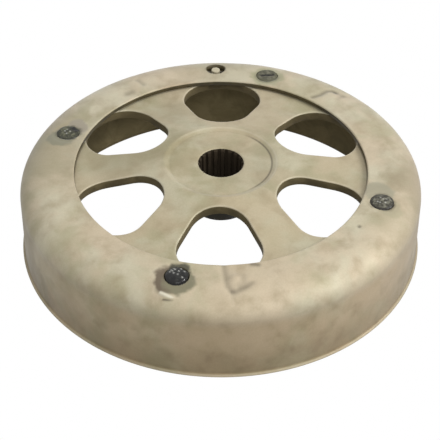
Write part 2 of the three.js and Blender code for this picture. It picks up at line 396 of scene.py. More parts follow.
def worn_steel(name, light, dark, rosy, patches, tints=(), lines=(), shaded_wall=False):
    """Dull heat-treated steel: blotches of three tints, clouds of stain and fine grain, with broad soft
    patches that are partly stain and partly painted shade, discs of heat tint, rings of painted shade
    round the axis (radius, half width, strength on the +X side, strength elsewhere) and, if asked for,
    painted shade on the wall: darker and more brown below the corner, darker still toward the foot."""
    g = Graph(name)
    blotch = g.noise(12, 3, 0.5, 0.4)
    tint = g.noise(21, 3, 0.5, 0.4, (1, 1, 0.6))
    cloud = g.noise(6.5, 3, 0.5, 0.2)
    grain = g.noise(0.5, 3, 0.6)
    color = g.mix(g.ramp(blotch, 0.36, 0.64), dark, light)
    color = g.mix(g.ramp(tint, 0.42, 0.6, 0, 0.75), color, rosy)
    color = g.mix(g.ramp(cloud, 0.4, 0.85, 0, 0.6), color, STAIN)
    small_tint = g.noise(7.5, 2, 0.5, 0.3, (1, 1, 0.6))
    color = g.mix(g.ramp(small_tint, 0.45, 0.72, 0, 0.4), color, rosy)
    # patches of stain and of painted shade
    for x, y, reach, strength, tone in patches:
        away = g.math("ADD", g.near(x, y), g.ramp(blotch, 0.3, 0.7, -5, 5))
        color = g.mix(g.ramp(away, 0.3 * reach, reach, strength, 0), color, tone)
    color = g.mix(g.ramp(grain, 0.35, 0.65, 0, 0.1), color, dark, "MULTIPLY")
    # painted shade on the wall below the corner, deeper toward the foot
    if shaded_wall:
        wall_shade = g.ramp(g.height(), WALL_LOW_Z, WALL_LOW_Z + WALL_FADE, 1, 0)
        color = g.mix(wall_shade, color, WALL_SHADE_FILTER, "MULTIPLY")
        foot = g.ramp(g.height(), FOOT_FROM_Z, FOOT_TO_Z, 1, 0)
        color = g.mix(foot, color, FOOT_SHADE_FILTER, "MULTIPLY")
    warp = g.ramp(g.noise(4.0, 2), 0.3, 0.7, -0.6, 0.6)
    for x, y, size, strength, tone in tints:
        edge = g.math("ADD", g.near(x, y), warp)
        color = g.mix(g.ramp(edge, size - 1.1, size + 0.6, strength, 0), color, tone)
    # rings of painted shade round the axis
    for radius, half, strength, faint in lines:
        ring = g.math("ABSOLUTE", g.math("SUBTRACT", g.near(0, 0), radius))
        side = g.ramp(g.near(radius, 0), 0.7 * radius, 1.1 * radius, strength, faint)
        color = g.mix(g.math("MULTIPLY", g.ramp(ring, 0, half, 1, 0), side), color, DIRT_AND_SHADE)
    # points' shade: dirty marks, painted shade and painted highlights
    color = g.shaded(color, DIRT_AND_SHADE, PAINTED_HIGHLIGHT)
    roughness = g.ramp(g.noise(5, 4, 0.6), 0.3, 0.7, 0.48, 0.62)
    bumps = [(blotch, 0.2, 0.1), (cloud, 0.2, 0.04), (grain, 0.2, 0.02)]
    haze = {"Sheen Weight": 0.25, "Sheen Roughness": 0.5}
    return g.finish(color, roughness, bumps, 0.15, **haze)


def oiled_and_shaded_steel(name, light, dark, rough_low, gloss):
    """Steel under a thin brown film of oil, with faint turning marks round the axis. The darker copies
    made of it for faces in shade are partly painted shade.
    """
    g = Graph(name)
    film = g.noise(9, 4, 0.6, 0.6)
    color = g.mix(g.ramp(film, 0.35, 0.65), dark, light)
    speck = g.noise(0.8, 3)
    color = g.mix(g.ramp(speck, 0.55, 0.75, 0, 0.4), color, dark)
    marks = g.noise(1.0, 2, 0.5, 0.0, (0.02, 0.02, 3.0))
    roughness = g.ramp(film, 0.3, 0.7, rough_low, rough_low + 0.17)
    bumps = [(marks, 0.25, 0.03), (speck, 0.15, 0.02)]
    return g.finish(color, roughness, bumps, 0.0, **{"Specular IOR Level": gloss})


def weld_metal(name, light, dark, rim, roughness_low, roughness_high, metallic=0.0):
    """Weld metal: dark crust with lighter crests, painted glints, and a rim of another tone."""
    g = Graph(name)
    crust = g.noise(1.3, 3, 0.55, 0.4)
    color = g.mix(g.ramp(crust, 0.4, 0.68), dark, light)
    color = g.shaded(color, SLAG, rim)
    # painted glints: pale spots where the lumpy crust would catch the light
    speck = g.node("Attribute", attribute_name="speck").outputs["Fac"]
    color = g.mix(speck, color, PAINTED_GLINT)
    roughness = g.ramp(g.noise(0.9, 2), 0.35, 0.65, roughness_low, roughness_high)
    bumps = [(crust, 0.5, 0.12), (g.noise(0.4, 2), 0.2, 0.03)]
    return g.finish(color, roughness, bumps, metallic)


LIGHT_STEEL = rgb(202, 194, 168)
DARK_STEEL = rgb(183, 175, 144)
ROSY_STEEL = rgb(205, 188, 161)
PLATE_LIGHT = rgb(192, 185, 157)
PLATE_DARK = rgb(171, 163, 130)
PLATE_ROSY = rgb(190, 175, 145)

# (x, y, size, strength, tone)
HEAT_TINTS = [
    (-14.4, -54.1, 5.6, 1.0, rgb(108, 95, 76)),
    (-12.2, -55.3, 4.9, 1.0, rgb(130, 125, 99)),
    (-12.4, -50.4, 3.3, 0.9, rgb(62, 60, 43)),
    (-54.0, 14.6, 5.0, 0.9, rgb(136, 133, 110)),
    (-49.0, 20.4, 4.1, 0.85, rgb(156, 147, 130)),
    (-51.3, 17.4, 4.2, 0.75, rgb(80, 78, 60)),
    (50.6, -14.0, 5.2, 0.8, rgb(158, 153, 130)),
    (53.4, -21.2, 4.4, 0.6, rgb(168, 160, 130)),
    (51.3, -18.4, 4.1, 0.7, rgb(92, 86, 68)),
    (16.4, 51.2, 6.1, 0.8, rgb(160, 158, 124)),
    (16.4, 51.4, 4.3, 0.9, rgb(112, 110, 86)),
]
# (x, y, reach, strength, tone)
# Broad darker patches round the drum: partly stain, partly painted shade.
DRUM_STAINS_AND_SHADE = [
    (-64.0, 10.0, 36.0, 0.65, rgb(150, 142, 112)),
    (68.0, -6.0, 22.0, 0.65, rgb(158, 145, 119)),
    (60.0, -28.0, 16.0, 0.3, rgb(160, 150, 122)),
    (-62.0, -24.0, 14.0, 0.3, rgb(146, 134, 104)),
    (0.0, 62.0, 26.0, 0.3, rgb(160, 152, 124)),
]
PLATE_STAINS_AND_SHADE = [
    # Broad darker patches on the plate, most on its left side away from the key lamp: partly stain,
    # partly painted shade.
    (-34.0, 6.0, 24.0, 0.5, rgb(146, 136, 104)),
    (-20.0, 30.0, 18.0, 0.4, rgb(150, 142, 108)),
    (14.0, -2.0, 14.0, 0.35, rgb(152, 144, 116)),
    (-13.0, 0.0, 12.0, 0.35, rgb(152, 142, 104)),
]
# (radius, half width, strength on the +X side, strength elsewhere)
# Rings of painted shade: in the recess round the hub, strongest on the +X side, and on the plate under
# the edge of the flange's opening.
RECESS_SHADE_RING = (CROWN_R + 0.15, 0.6, 0.65, 0.04)
SEAM_SHADE_RING = (FLANGE_INNER_R, 0.35, 0.5, 0.5)

drum_tones = (LIGHT_STEEL, DARK_STEEL, ROSY_STEEL, DRUM_STAINS_AND_SHADE)
plate_tones = (PLATE_LIGHT, PLATE_DARK, PLATE_ROSY, PLATE_STAINS_AND_SHADE)
drum_steel = worn_steel("drum_steel", *drum_tones, tints=HEAT_TINTS, shaded_wall=True)
plate_steel = worn_steel("plate_steel", *plate_tones, lines=[RECESS_SHADE_RING, SEAM_SHADE_RING])
hub_face = worn_steel("hub_face", *plate_tones, lines=[RECESS_SHADE_RING])
# Inner faces: oiled steel, darkened partly as painted shade.
inner_oil_and_shade = oiled_and_shaded_steel("inner_oil_and_shade", rgb(156, 142, 106), rgb(128, 116, 81), 0.6, 0.25)
# Window walls: darker oiled steel, partly painted shade.
window_wall_shade = oiled_and_shaded_steel("window_wall_shade", rgb(120, 108, 78), rgb(94, 84, 59), 0.6, 0.25)
barrel_steel = oiled_and_shaded_steel("barrel_steel", rgb(58, 54, 42), rgb(42, 39, 30), 0.5, 0.5)
# Edge of the flange's opening and walls of its holes: darker oiled steel, mostly painted shade.
opening_edge_shade = oiled_and_shaded_steel("opening_edge_shade", rgb(92, 83, 58), rgb(68, 60, 39), 0.5, 0.4)
# Splined bore: dark oiled steel, partly painted shade.
bore_oil_and_shade = oiled_and_shaded_steel("bore_oil_and_shade", rgb(60, 51, 40), rgb(50, 43, 33), 0.7, 0.1)
ring_weld = weld_metal("ring_weld", rgb(120, 108, 88), rgb(62, 55, 44), rgb(90, 80, 62), 0.35, 0.6, 0.5)
# crust: light, dark and rim colours, lowest and highest roughness.
# over: how far the bead spreads past its hole. crown: height of its middle. flatness: how square
# its dome is. lumps: height of its lumps. dark: a darker line, of that half width, sunk that deep.
# glints: where its painted glints sit.
PLUG_LOOKS = {
    "plug_weld_front": {
        "crust": (rgb(40, 40, 37), rgb(12, 12, 11), rgb(14, 13, 11), 0.1, 0.25),
        "over": -0.2,
        "crown": 1.25,
        "flatness": 2.2,
        "lumps": 0.2,
        "dark": None,
        "half": 1.0,
        "sink": 0.0,
        "glints": [
            (-2.1, 0.7), (-1.7, 1.4), (-1.3, 0.9), (-0.9, 2.0), (-0.5, 1.6), (-0.9, 0.1),
            (0.6, 0.8), (1.3, 2.0), (2.3, 1.0), (1.7, -1.6), (0.3, -0.6),
        ],
    },
    "plug_weld_left": {
        "crust": (rgb(112, 112, 88), rgb(52, 52, 38), rgb(50, 50, 36), 0.35, 0.45),
        "over": 0.0,
        "crown": 0.6,
        "flatness": 3.0,
        "lumps": 0.25,
        "dark": [(-49.9, 19.3), (-48.9, 18.2)],
        "half": 1.7,
        "sink": 0.0,
        "glints": [(-1.2, 0.5), (-0.5, 1.3), (-0.5, -0.9), (0.6, 0.2)],
    },
    "plug_weld_right": {
        "crust": (rgb(122, 120, 104), rgb(56, 53, 42), rgb(40, 36, 27), 0.3, 0.45),
        "over": 0.0,
        "crown": 0.75,
        "flatness": 3.0,
        "lumps": 0.25,
        "dark": None,
        "half": 1.0,
        "sink": 0.0,
        "glints": [(-0.4, 1.5), (0.3, 0.6), (1.4, 0.8), (-1.5, -0.4), (-0.8, -0.8), (0.9, -0.9)],
    },
    "plug_weld_rear": {
        "crust": (rgb(112, 109, 91), rgb(80, 79, 63), rgb(90, 89, 68), 0.5, 0.65),
        "over": -0.15,
        "crown": 0.4,
        "flatness": 4.0,
        "lumps": 0.14,
        "dark": [(14.6, 51.7), (18.4, 52.1)],
        "half": 0.65,
        "sink": 0.35,
        "glints": [],
    },
}
plug_crusts = {node: weld_metal(node + "_crust", *look["crust"]) for node, look in PLUG_LOOKS.items()}


# ---------------------------------------------------------------- drum shell

locating_spot = polar(LOCATING_DEG, LOCATING_CIRCLE_R)
plug_places = [middle(node) for node in PLUG_NODES]


def trail(*places):
    """[x, y] corners of a line through places given as (degrees about the axis, radius in mm)."""
    return [polar(*place) for place in places]


def line_distance(points, corners):
    """Distance from each [x, y] point to a line through [x, y] corners."""
    corners = np.array(corners)
    best = np.full(len(points), np.inf)
    for a, b in zip(corners, corners[1:]):
        along = np.clip(((points - a) @ (b - a)) / ((b - a) @ (b - a)), 0, 1)
        best = np.minimum(best, np.linalg.norm(points - a - along[:, None] * (b - a), axis=1))
    return best


def bell(distance, half):
    """1 at distance 0, fading softly over the half width."""
    return np.exp(-((distance / half) ** 2))


# Knocks in the flange.
FRONT_FOLD = trail(
    (-88.8, 48.3), (-88.4, 52.5), (-88.2, 54.9), (-87.8, 57.0), (-86.8, 58.7),
    (-85.5, 59.0), (-83.7, 58.2), (-81.7, 57.3), (-80.4, 56.3),
)
FRONT_TIP = trail((-86.6, 58.9), (-86.5, 61.1))
FRONT_LOOP = trail((-82.6, 53.4), (-83.1, 55.2), (-84.4, 56.6))
FRONT_RING = trail(
    (-87.4, 54.1), (-86.4, 52.9), (-85.1, 52.4), (-83.5, 52.9), (-82.5, 54.9), (-82.5, 57.1),
)
FRONT_SMUDGE = trail((-78.8, 48.8), (-76.8, 49.4))
RIGHT_FOLD = trail((50.2, 50.2), (48.9, 53.0), (48.6, 56.5), (47.4, 58.1), (46.2, 58.1))
RIGHT_WEDGE = trail((45.4, 58.2), (42.5, 58.8))
RIGHT_SPUR = trail((42.5, 55.3), (43.1, 58.7))
LEFT_FOLD = trail((121.5, 57.3), (121.1, 53.5))
LEFT_SMUDGE = trail((129.6, 51.4), (127.4, 51.2))
PIT = trail((-35.2, 52.7), (-35.1, 52.7))
BURR = trail((-106.6, 61.4), (-104.8, 61.8), (-103.1, 62.3))
BURR_EDGE = trail((-105.4, 63.0), (-104.0, 62.9), (-102.8, 62.7))

# (line, half width, height over the flange)
FOLDS = [
    (FRONT_FOLD, 1.4, -0.38),
    (FRONT_TIP, 0.7, -0.15),
    (FRONT_LOOP, 1.2, -0.14),
    (FRONT_RING, 0.9, -0.1),
    (RIGHT_FOLD, 1.1, -0.34),
    (RIGHT_WEDGE, 1.6, -0.2),
    (RIGHT_SPUR, 0.9, -0.16),
    (LEFT_FOLD, 1.1, -0.3),
    (BURR, 0.6, 0.22),
]
# (degrees, radius, half size, height over the flange)
LUMPS = [
    (-85.2, 54.0, 1.9, 0.6),
    (45.5, 54.2, 3.0, 0.3),
    (126.0, 52.5, 3.0, 0.25),
    (-35.2, 52.7, 0.45, -0.25),
]
# (line, half width, shade: darker over 0, lighter under 0). The darkening along the knocks, in
# the pit and beside the burr is painted shade; the burr's bright line is a painted highlight; the
# two smudges are dirty marks.
KNOCK_SHADE_AND_SMEARS = [
    (FRONT_FOLD, 1.15, 0.42),
    (FRONT_TIP, 0.8, 0.2),
    (FRONT_LOOP, 1.5, 0.27),
    (FRONT_RING, 1.0, 0.07),
    (FRONT_SMUDGE, 1.1, 0.6),
    (RIGHT_FOLD, 1.15, 0.52),
    (RIGHT_WEDGE, 1.7, 0.2),
    (RIGHT_SPUR, 1.1, 0.26),
    (LEFT_FOLD, 1.2, 0.38),
    (LEFT_SMUDGE, 1.7, 0.4),
    (PIT, 0.75, 0.7),
    (BURR, 0.55, -0.8),
    (BURR_EDGE, 0.35, 0.7),
]
HUB_SMEARS = [
    (trail((-135.0, 16.4), (-121.0, 16.2), (-107.0, 16.6)), 0.9, 0.2),
    (trail((116.5, 21.7), (106.8, 20.6)), 0.6, 0.2),
]
DISH_R = 6.0
DISH_EDGE = 1.2
DISH_DEPTH = 0.22
WAVE_SIZE = 11.0
WAVE_HEIGHT = 0.12
HOLE_SHADE = 0.75
RIM_HIGHLIGHT = 0.3
RIM_SHADE = 0.2


def flange_relief(points):
    """Height over the true flange, in mm, at [x, y] places: waves, knocks, weld dishes, a burr."""
    height = WAVE_HEIGHT * np.array([rough(x, y, 5.0, WAVE_SIZE, 2) for x, y in points])
    for line, half, rise in FOLDS:
        height += rise * bell(line_distance(points, line), half)
    for degrees, radius, half, rise in LUMPS:
        height += rise * bell(np.linalg.norm(points - polar(degrees, radius), axis=1), half)
    for place in plug_places:
        away = np.linalg.norm(points - np.array([place.x, place.y]), axis=1)
        height -= DISH_DEPTH * (1 - smooth(away, DISH_R - DISH_EDGE, DISH_R))
    return height


def line_marks(points, smears):
    """Shade at each point from marks along lines."""
    flat = points[:, :2]
    return sum(amount * bell(line_distance(flat, line), half) for line, half, amount in smears)


def shell_shade(points):
    """Painted shade in the knocks, the pit, beside the burr and round the locating hole, dirty
    smudges, painted highlights on the burr and the rim's lip, and painted shade just above the lip.
    """
    flat, height = points[:, :2], points[:, 2]
    # painted shade along the knocks and in the pit, painted highlight on the burr, dirty smudges
    shade = line_marks(points, KNOCK_SHADE_AND_SMEARS)
    away = np.linalg.norm(flat - locating_spot, axis=1)
    # painted shade round the locating hole
    shade += HOLE_SHADE * (1 - smooth(away, LOCATING_R + 0.1, LOCATING_R + 0.7))
    corner_foot = FLANGE_Z - CORNER_DOWN
    shade *= smooth(height, corner_foot, corner_foot + 1)
    outside = np.hypot(*flat.T) > WALL_R
    # painted highlight on the rim's lip, and painted shade in a band just above it
    shade -= RIM_HIGHLIGHT * outside * (1 - smooth(height, LIP_THICK, LIP_TOP))
    shade += RIM_SHADE * outside * bell(height - LIP_TOP - 0.4, 0.5)
    return shade


def shell_profile():
    """Outer half and inner half of the shell's closed profile."""
    under = FLANGE_Z - FLANGE_THICK
    corner = (WALL_R - CORNER_OUT, FLANGE_Z - CORNER_DOWN)
    inner_corner = (FRICTION_R - INNER_CORNER_OUT, under - INNER_CORNER_DOWN)
    opening = (FLANGE_INNER_R + OPENING_OUT, FLANGE_Z - OPENING_DOWN)
    r = EDGE_ROUND
    outer = [[FRICTION_R + FOOT_CHAMFER, 0]]
    outer += arc(RIM_R - r, r, r, r, -90, 0, 3)
    outer += arc(RIM_R - r, LIP_THICK - r, r, r, 0, 70, 3)
    outer += arc(WALL_FOOT_R + LIP_HOLLOW, LIP_TOP + 0.1, LIP_HOLLOW, LIP_HOLLOW, 230, 180, 3)
    outer += arc(*corner, CORNER_OUT, CORNER_DOWN, 0, 90, 28)
    outer += arc(*opening, OPENING_OUT, OPENING_DOWN, 90, 180, 5)
    inner = arc(FLANGE_INNER_R + r, under + r, r, r, 180, 270, 3)
    inner += arc(*inner_corner, INNER_CORNER_OUT, INNER_CORNER_DOWN, 90, 0, 14)
    inner += [[FRICTION_R, FOOT_CHAMFER], [FRICTION_R + FOOT_CHAMFER, 0]]
    return fine(outer, OUTER_STEP), fine(inner, INNER_STEP)


def build_shell():
    """The drawn cup, with its corner and flange in relief, the plug holes and the locating hole."""
    outer, inner = shell_profile()
    grid = turned(outer + inner, SHELL_TURNS)
    top = grid[: len(outer)]
    places = top.reshape(-1, 3)
    radius = np.hypot(places[:, 0], places[:, 1])
    share = smooth(places[:, 2], FLANGE_Z - CORNER_DOWN, FLANGE_Z - 1.0)
    share *= smooth(radius, FLANGE_INNER_R - 0.1, FLANGE_INNER_R + OPENING_OUT)
    places[:, 2] += share * flange_relief(places[:, :2])
    top[:] = places.reshape(top.shape)
    sheets = Sheets()
    edge_start = len(outer) - 2
    wall_start = len(outer) + 2

    def mark(row):
        """Drum steel outside, a darker steel as painted shade round the opening's edge, inner steel
        inside, partly painted shade.
        """
        if row < edge_start:
            return 0
        return 2 if row < wall_start else 1

    sheets.add(grid, True, mark)
    steels = [drum_steel, inner_oil_and_shade, opening_edge_shade]
    shell = sheets.build("shell", steels)
    cutters = [round_cutter(place.x, place.y, PLUG_HOLE_R, 0.0, steels) for place in plug_places]
    cutters.append(round_cutter(*locating_spot, LOCATING_R, EDGE_ROUND, steels))
    combine(shell, cutters, "DIFFERENCE")
    return shaded(shell, shell_shade)


def round_cutter(x, y, radius, chamfer, steels):
    """Upright cutter for a hole in the flange, wider at the flange face by the chamfer."""
    bottom, top = FLANGE_Z - FLANGE_THICK - 3, FLANGE_Z + 1.5
    profile = [
        [0.0, bottom],
        [radius, bottom],
        [radius, FLANGE_Z - chamfer - 0.1],
        [radius + chamfer, FLANGE_Z],
        [radius + chamfer, top],
        [0.0, top],
    ]
    grid = turned(profile, 48)
    grid[..., 0] += x
    grid[..., 1] += y
    sheets = Sheets()
    sheets.add(grid, True, lambda r: 2)
    return sheets.build("cutter", steels)


# ---------------------------------------------------------------- spider plate


def plate_top(radius):
    """Height of the plate's upper face: flat outside, a soft bend, and a cone up to the crown."""
    inside = CONE_R - radius
    soft = (inside + CONE_BEND) ** 2 / (4 * CONE_BEND)
    blend = np.where(np.abs(inside) < CONE_BEND, soft, np.maximum(inside, 0))
    return FLAT_TOP_Z + CONE_SLOPE * blend


def window_radius(angles, grow):
    """Distance from the window's middle to its outline, grown outwards, at each angle."""
    reach = WINDOW_OUTER_R - WINDOW_ROUND
    corner, aside = WINDOW_CORNER_C, WINDOW_CORNER_SIDE
    outer_c = (reach**2 - corner**2 - aside**2) / (2 * (reach - corner))
    side = math.degrees(math.pi / 2 + math.atan2(aside, corner - WINDOW_INNER_C))
    end = math.degrees(math.atan2(aside, corner - outer_c))
    small, big = WINDOW_ROUND + grow, WINDOW_OUTER_R - outer_c + grow
    outline = arc(outer_c, 0, big, big, -end, end, 60)
    outline += arc(corner, aside, small, small, end, side, 60)
    outline += arc(WINDOW_INNER_C, 0, small, small, side, 360 - side, 90)
    outline += arc(corner, -aside, small, small, 360 - side, 360 - end, 60)
    outline = np.array(fine(outline, 0.3)) - [WINDOW_MIDDLE, 0]
    turn = np.arctan2(outline[:, 1], outline[:, 0]) % TURN
    order = np.argsort(turn)
    return np.interp(angles % TURN, turn[order], np.hypot(*outline.T)[order], period=TURN)


def ray_to_circle(angles, radius, far):
    """Distance from the window's middle along each angle to a circle about the axis."""
    along = WINDOW_MIDDLE * np.cos(angles)
    inside = along**2 - WINDOW_MIDDLE**2 + radius**2
    root = np.sqrt(np.maximum(inside, 0))
    return np.where(inside > 0, -along + root if far else -along - root, np.inf)


def plate_sector():
    """Angles about a window's middle, the distance to its sector's border, and the slices of the
    angles that run along the inner and the outer ring."""
    half = math.pi / WINDOWS
    inner_r, outer_r = CROWN_R + CROWN_FALL, PLATE_R - ROLL_OUT

    def direction(radius):
        return math.atan2(radius * math.sin(half), radius * math.cos(half) - WINDOW_MIDDLE)

    out_angle, in_angle = direction(outer_r), direction(inner_r)
    outer_count, side_count, inner_count = 48, 36, 30
    angles = np.concatenate([
        np.linspace(-out_angle, out_angle, outer_count, endpoint=False),
        np.linspace(out_angle, in_angle, side_count, endpoint=False),
        np.linspace(in_angle, TURN - in_angle, inner_count, endpoint=False),
        np.linspace(TURN - in_angle, TURN - out_angle, side_count, endpoint=False),
    ])
    border = np.empty_like(angles)
    sides = slice(outer_count, outer_count + side_count)
    inner = slice(sides.stop, sides.stop + inner_count)
    border[:outer_count] = ray_to_circle(angles[:outer_count], outer_r, True)
    border[inner] = ray_to_circle(angles[inner], inner_r, False)
    for part in (sides, slice(inner.stop, None)):
        run = np.abs((angles[part] + math.pi) % TURN - math.pi)
        border[part] = WINDOW_MIDDLE * math.sin(half) / np.abs(np.sin(run - half))
    return angles, border, inner, slice(0, outer_count)


def build_plate():
    """The dished plate, made of six equal sectors round its windows, with the locating pip."""
    angles, border, inner, outer = plate_sector()
    unit = np.stack([np.cos(angles), np.sin(angles)], -1)
    middle_xy = np.array([WINDOW_MIDDLE, 0.0])

    def row(distance, drop, under=False):
        """One ring of points round the window, at a depth below the upper face."""
        xy = middle_xy + distance[:, None] * unit
        z = plate_top(np.hypot(*xy.T)) - (PLATE_THICK - drop if under else drop)
        return np.column_stack([xy, z])

    def edge(size, steps):
        """Grow and drop of a rounded edge, from the wall to the face."""
        turns = np.radians(np.linspace(0, 90, steps + 1))
        return [(size * (1 - math.cos(t)), size * (1 - math.sin(t))) for t in turns]

    rows = []
    face_start = window_radius(angles, WINDOW_EDGE)
    under_start = window_radius(angles, UNDER_EDGE)
    for share in np.linspace(1, 0, FACE_ROWS + 1)[:-1]:
        rows.append(row(under_start + share * (border - under_start), 0.0, True))
    for grow, drop in reversed(edge(UNDER_EDGE, 2)):
        rows.append(row(window_radius(angles, grow), drop, True))
    wall_from = len(rows) - 1
    for grow, drop in edge(WINDOW_EDGE, 5):
        rows.append(row(window_radius(angles, grow), drop))
    wall_to = wall_from + 2
    for share in np.linspace(0, 1, FACE_ROWS + 1)[1:]:
        rows.append(row(face_start + share * (border - face_start), 0.0))
    window_grid = np.stack(rows)

    def ring(columns, profile):
        """Rows that follow the sector's border round the axis, at [radius, height] points."""
        along = np.append(angles[columns], angles[columns.stop % len(angles)])
        reach = np.append(border[columns], border[columns.stop % len(angles)])
        xy = middle_xy + reach[:, None] * np.stack([np.cos(along), np.sin(along)], -1)
        turn = np.arctan2(xy[:, 1], xy[:, 0])
        across, up = np.cos(turn), np.sin(turn)
        return np.stack([
            np.column_stack([r * across, r * up, np.full(len(turn), z)]) for r, z in profile
        ])

    start_r, roll_r, chamfer = CROWN_R + CROWN_FALL, PLATE_R - ROLL_OUT, PLATE_CHAMFER
    top_z, foot_z = float(plate_top(start_r)), HUB_TOP_Z + 0.02
    inner_low_z, outer_low_z = top_z - PLATE_THICK, PLATE_FLAT_LOW_Z
    inner_profile = []
    for t in np.linspace(1, 0, FALL_ROWS + 1):
        height = foot_z + (top_z - foot_z) * float(smooth(t, 0, 1))
        inner_profile.append([CROWN_R + CROWN_FALL * t, height])
    inner_profile += [
        [CROWN_R, inner_low_z + chamfer],
        [CROWN_R + chamfer, inner_low_z],
        [start_r, inner_low_z],
    ]
    outer_profile = arc(roll_r, FLAT_TOP_Z - ROLL_DOWN, ROLL_OUT, ROLL_DOWN, 90, 0, ROLL_ROWS)
    outer_profile += [
        [PLATE_R, outer_low_z + chamfer],
        [PLATE_R - chamfer, outer_low_z],
        [roll_r, outer_low_z],
    ]
    inner_grid, outer_grid = ring(inner, inner_profile), ring(outer, outer_profile)

    def window_mark(row):
        """Inner steel below, partly painted shade; a darker steel on the window's wall, partly painted
        shade; plate steel on the face.
        """
        if row < wall_from:
            return 1
        return 2 if row < wall_to else 0

    sheets = Sheets()
    for k in range(WINDOWS):
        turn = math.radians(WINDOW_FIRST_DEG) + k * TURN / WINDOWS
        c, s = math.cos(turn), math.sin(turn)
        rotate = np.array([[c, s, 0], [-s, c, 0], [0, 0, 1]])
        sheets.add(window_grid @ rotate, True, window_mark)
        sheets.add(inner_grid @ rotate, False, lambda row: 0 if row < FALL_ROWS else 1)
        sheets.add(outer_grid @ rotate, False, lambda row: 0 if row < ROLL_ROWS else 1)
    steels = [plate_steel, inner_oil_and_shade, window_wall_shade]
    plate = sheets.build("plate", steels)
    combine(plate, [locating_pip(steels)], "UNION")
    return shaded(plate, plate_shade)


def locating_pip(steels):
    """Small pip pushed up out of the plate, which sits in the flange's locating hole."""
    base, top = FLAT_TOP_Z - 1.0, FLANGE_Z - PIP_UNDER_FLANGE
    profile = [[0.0, base], [PIP_R, base]]
    profile += arc(PIP_R - PIP_EDGE, top - PIP_EDGE, PIP_EDGE, PIP_EDGE, 0, 90, 4)
    profile += [[0.0, top]]
    grid = turned(profile, 40)
    grid[..., :2] += locating_spot
    sheets = Sheets()
    sheets.add(grid, True)
    return sheets.build("pip", steels)


def window_gap(points):
    """Distance from each point to the nearest window's outline, over 0 on the plate."""
    turn = np.arctan2(points[:, 1], points[:, 0]) - math.radians(WINDOW_FIRST_DEG)
    turn = (turn + math.pi / WINDOWS) % (TURN / WINDOWS) - math.pi / WINDOWS
    radius = np.hypot(points[:, 0], points[:, 1])
    x, y = radius * np.cos(turn) - WINDOW_MIDDLE, radius * np.sin(turn)
    return np.hypot(x, y) - window_radius(np.arctan2(y, x), 0.0)


WINDOW_EDGE_HIGHLIGHT = 0.3
RECESS_LIP_HIGHLIGHT = 0.28
PIP_HOLE_SHADE = 0.9
PIP_HIGHLIGHT = 0.35


def plate_shade(points):
    """Painted highlights on the windows' upper edges, the recess lip and the pip's top, painted shade
    round the pip in its hole, and dirty smears by the hub.
    """
    x, y, z = points.T
    radius = np.hypot(x, y)
    on_top = z > plate_top(radius) - WINDOW_EDGE
    away = np.linalg.norm(points[:, :2] - locating_spot, axis=1)
    shade = line_marks(points, HUB_SMEARS)
    # painted highlight on the windows' upper edges
    shade -= WINDOW_EDGE_HIGHLIGHT * on_top * bell(window_gap(points) - 0.25, 0.3)
    lip = bell(radius - CROWN_R - 0.75 * CROWN_FALL, 0.5)
    # painted highlight on the recess lip, stronger toward the back and right
    shade -= RECESS_LIP_HIGHLIGHT * lip * smooth(x + y, -16, 4)
    on_pip = smooth(z, FLANGE_Z - 1.2, FLANGE_Z - 0.8) * (away < LOCATING_R)
    in_hole = (1 - smooth(away, LOCATING_R, LOCATING_R + 1.5)) * (1 - on_pip)
    # painted shade round the pip in its hole, painted highlight on its top
    return shade + PIP_HOLE_SHADE * in_hole - PIP_HIGHLIGHT * on_pip


# ---------------------------------------------------------------- splined hub


def bore_radius(angles):
    """Radius of the splined bore at each angle: tooth spaces, flanks and tooth tips."""
    pitch = (angles * SPLINE_TEETH / TURN) % 1.0
    away = np.minimum(pitch, 1 - pitch)
    return SPLINE_MAJOR_R - (SPLINE_MAJOR_R - SPLINE_MINOR_R) * smooth(away, SPACE_HALF, TOOTH_FROM)


def spline_shares():
    """Places across one pitch of the spline where the bore has points, as shares of the pitch."""
    space = [-SPACE_HALF, -0.06, 0.06, SPACE_HALF]
    flank = [SPACE_HALF + 0.025 * i for i in range(1, FLANK_STEPS + 1)]
    return np.array(space + flank + [0.38, 0.5, 0.62] + [1 - share for share in reversed(flank)])


